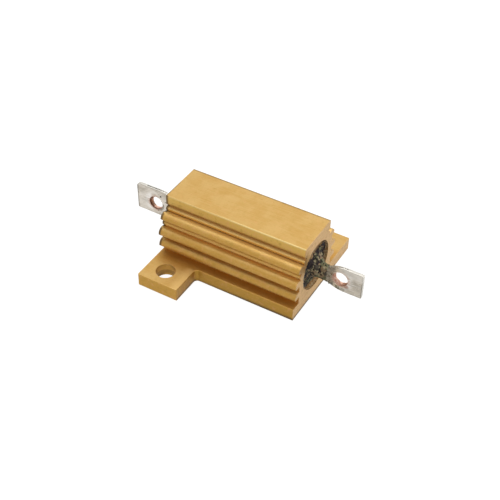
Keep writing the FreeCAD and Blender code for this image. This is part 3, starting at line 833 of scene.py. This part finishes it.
class Fill:
    """The fill at one end: rings from the bore's rim inward, up the mound and out on the lead."""

    def __init__(self, lead):
        self.lead = lead
        self.rings = []
        self.face()
        self.creep()
        self.core()

    def roughness(self, point):
        p = point + Vector((7.3 * self.lead.side, 1.7, 0.0))
        lump = 0.5 - noise.voronoi(p * 2.3)[0][0]
        return 0.7 * lump + 0.5 * rough(p, 1.9, 5)

    def face(self):
        lead = self.lead
        for row in range(FACE_RINGS + 1):
            share = row / FACE_RINGS
            radius = FILL_RADIUS + (MOUND_RADIUS - FILL_RADIUS) * share
            swell = SWELL * smooth(0.15, 1.0, share) + MOUND * smooth(0.82, 1.0, share)
            grit = FACE_GRIT * smooth(0.0, 0.12, share)
            middle = BORE_HEIGHT + lead.rise * 0.5 * smooth(0.3, 1.0, share)
            ring = []
            for angle in ANGLES:
                recess = RECESS + MORE_BELOW * lowness(angle + lead.side * LEAN)
                reach = radius - 0.22 * lowness(angle) * smooth(0.5, 1.0, share)
                point = Vector((lead.side * (HALF_LENGTH - recess + swell),
                                reach * math.sin(angle) * lead.side,
                                middle + reach * math.cos(angle)))
                point.x += lead.side * grit * self.roughness(point)
                ring.append(point)
            self.rings.append(ring)

    def creep(self):
        lead, end = self.lead, self.lead.creep
        thickness = [(CREEP_FROM, 0.3), (CREEP_FROM + 0.3, 0.2), (CREEP_FROM + 0.9, 0.14),
                     (end - 0.3, 0.04), (end, -0.12)]
        grit = [(CREEP_FROM, 0.22), (CREEP_FROM + 0.8, 0.16), (end, 0.07)]
        for place in spaced(CREEP_FROM, end, CREEP_RINGS)[1:]:
            ring = []
            for angle in ANGLES:
                y, z = superellipse(angle, lead.half_thickness(place), lead.half_width(place),
                                    lead.power(place))
                out = Vector((0.0, y, z)).normalized()
                base = Vector((lead.side * place, y * lead.side, lead.centre(place) + z))
                push = (follow(thickness, place) * (1 - 0.6 * lowness(angle))
                        + follow(grit, place) * self.roughness(base))
                ring.append(base + Vector((0.0, out.y * lead.side, out.z)) * push)
            self.rings.append(ring)

    def core(self):
        """Back along the lead just under its skin to the cap, so that the fill stays closed."""
        lead, end, under = self.lead, self.lead.creep, 0.06
        last = CAP_FACE + 0.04
        for place in (end + 0.05, end - 0.6, end - 1.2, CREEP_FROM, 9.6, 9.0, 8.3, last):
            self.plain(place, lead.half_thickness(place) - under, lead.half_width(place) - under,
                       lead.power(place))
        self.plain(last, CAP_RADIUS + 0.02, CAP_RADIUS + 0.02, 2.0)

    def plain(self, place, reach_y, reach_z, power):
        lead = self.lead
        ring = []
        for angle in ANGLES:
            y, z = superellipse(angle, reach_y, reach_z, power)
            ring.append(Vector((lead.side * place, y * lead.side, lead.centre(place) + z)))
        self.rings.append(ring)


def crumb(bm, centre, size, seed):
    """One grain of compound that sticks to the blade."""
    made = bmesh.ops.create_icosphere(bm, subdivisions=2, radius=1.0)
    for vertex in made["verts"]:
        way = vertex.co.copy()
        reach = size * (1 + 0.45 * rough(way + Vector((seed, 0.0, 0.0)), 1.3, 3))
        vertex.co = centre + Vector((way.x * reach, way.y * reach * 0.6, way.z * reach))


def compound_mesh():
    bm = bmesh.new()
    # The left rings run the other way round, so they are read backwards to match
    left = [[ring[-k % SPOKES] for k in range(SPOKES)] for ring in reversed(Fill(LEFT).rings)]
    rows = [[bm.verts.new(point) for point in ring] for ring in Fill(RIGHT).rings + left]
    for first, second in zip(rows, rows[1:] + rows[:1]):
        for corners in around(first, second):
            bm.faces.new(corners)

    for index in range(CRUMBS):
        lead = RIGHT if index % 3 else LEFT
        draw = [noise.cell(Vector((index * 3.7 + 0.5, way + 0.5, 9.5))) for way in range(4)]
        place = lead.hole - CRUMBS_BEFORE_HOLE + CRUMBS_STRETCH * abs(draw[0]) ** 1.5
        level = 1.8 * abs(draw[1]) - 0.9
        face = 1 if draw[2] > 0 else -1
        up = level * lead.half_width(place)
        power = lead.power(place)
        y = face * lead.half_thickness(place) * (1 - abs(level) ** power) ** (1 / power)
        if math.hypot(place - lead.hole, up) > HOLE_RADIUS + 0.1:
            crumb(bm, lead.to_part(place, y, up), 0.05 + 0.08 * abs(draw[3]), index)
    return bm


piece("compound_fill", compound_mesh(), [compound_material()], "moulding_compound", 180)


# Floor, light and camera

def floor_material():
    """Diffuse to light, and near white to the camera and to reflections, with the shadow kept.

    Reflections see it darken close to the object, where the floor gets little light."""
    s = Surface("pale_floor")
    lit = s.largest(s.fade(s.absolute(s.y), 5.6, 12.0, 0.6, 1.0),
                    s.fade(s.absolute(s.x), HALF_LENGTH - 0.4, HALF_LENGTH + 0.6, 0.6, 1.0))
    diffuse = s.node("BsdfDiffuse", {"Color": (0.3, 0.3, 0.3, 1)})
    glow = {"Color": (1, 1, 1, 1), "Strength": s.times(s.seen(lit), 0.9)}
    total = s.node("AddShader", {0: diffuse[0], 1: s.node("Emission", glow)[0]})
    s.node("OutputMaterial", {"Surface": total[0]})
    return s.material


FLOOR_REACH = 1200
FLOOR_DROP = 0.02
corners = [Vector((x, y, 0)) * FLOOR_REACH * MM for x, y in ((-1, -1), (1, -1), (1, 1), (-1, 1))]
floor_mesh = bpy.data.meshes.new("floor")
floor_mesh.from_pydata(corners, [], [(0, 1, 2, 3)])
floor_mesh.materials.append(floor_material())
floor = bpy.data.objects.new("floor", floor_mesh)
floor.location.z = -FLOOR_DROP * MM
bpy.context.scene.collection.objects.link(floor)

# The world is white to the camera and to reflections, and lights the part at this level
AMBIENT = 0.37
world = bpy.data.worlds.new("studio")
bpy.context.scene.world = world
sky = Shader(world)
strength = sky.fade(sky.seen(1.0), 0.0, 1.0, AMBIENT, 1.0)
background = sky.node("Background", {"Color": (1, 1, 1, 1), "Strength": strength})
sky.node("OutputWorld", {"Surface": background[0]})


def area_light(name, place, aim, width, power):
    """A round lamp at a place, turned to aim, with its width in millimetres and power in watts."""
    lamp = bpy.data.lights.new(name, "AREA")
    lamp.shape = "DISK"
    lamp.size = width * MM
    lamp.energy = power
    made = bpy.data.objects.new(name, lamp)
    made.location = Vector(place) * MM
    way = (Vector(aim) - Vector(place)).to_track_quat("-Z", "Y")
    made.rotation_euler = way.to_euler()
    bpy.context.scene.collection.objects.link(made)


area_light("overhead", (-10, 40, 260), (0, 0, 0), 220, 0.255)
area_light("far_side", (200, 140, 100), (0, 0, 4), 130, 0.09)

# The photograph's camera, worked out from the housing's straight edges
AZIMUTH = math.radians(29.65)
ELEVATION = math.radians(40.61)
ROLL = math.radians(1.24)
DISTANCE = 125.55
TARGET = Vector((-1.819, 1.452, 3.667))
LENS = 69.76
SHIFT = (0.0201, -0.0335)

back = Vector((math.sin(AZIMUTH) * math.cos(ELEVATION), -math.cos(AZIMUTH) * math.cos(ELEVATION),
               math.sin(ELEVATION)))
right = Vector((0, 0, 1)).cross(back).normalized()
up = back.cross(right)
rolled_right = math.cos(ROLL) * right + math.sin(ROLL) * up
rolled_up = math.cos(ROLL) * up - math.sin(ROLL) * right
camera_data = bpy.data.cameras.new("camera")
camera_data.sensor_fit = "HORIZONTAL"
camera_data.sensor_width = 36
camera_data.lens = LENS
camera_data.shift_x, camera_data.shift_y = SHIFT
camera_data.clip_start = 5 * MM
camera_data.clip_end = 20000 * MM
camera = bpy.data.objects.new("camera", camera_data)
turn = Matrix((rolled_right, rolled_up, back)).transposed().to_4x4()
camera.matrix_world = Matrix.Translation((TARGET + DISTANCE * back) * MM) @ turn
bpy.context.scene.collection.objects.link(camera)
bpy.context.scene.camera = camera

bpy.context.scene.view_settings.view_transform = "Standard"
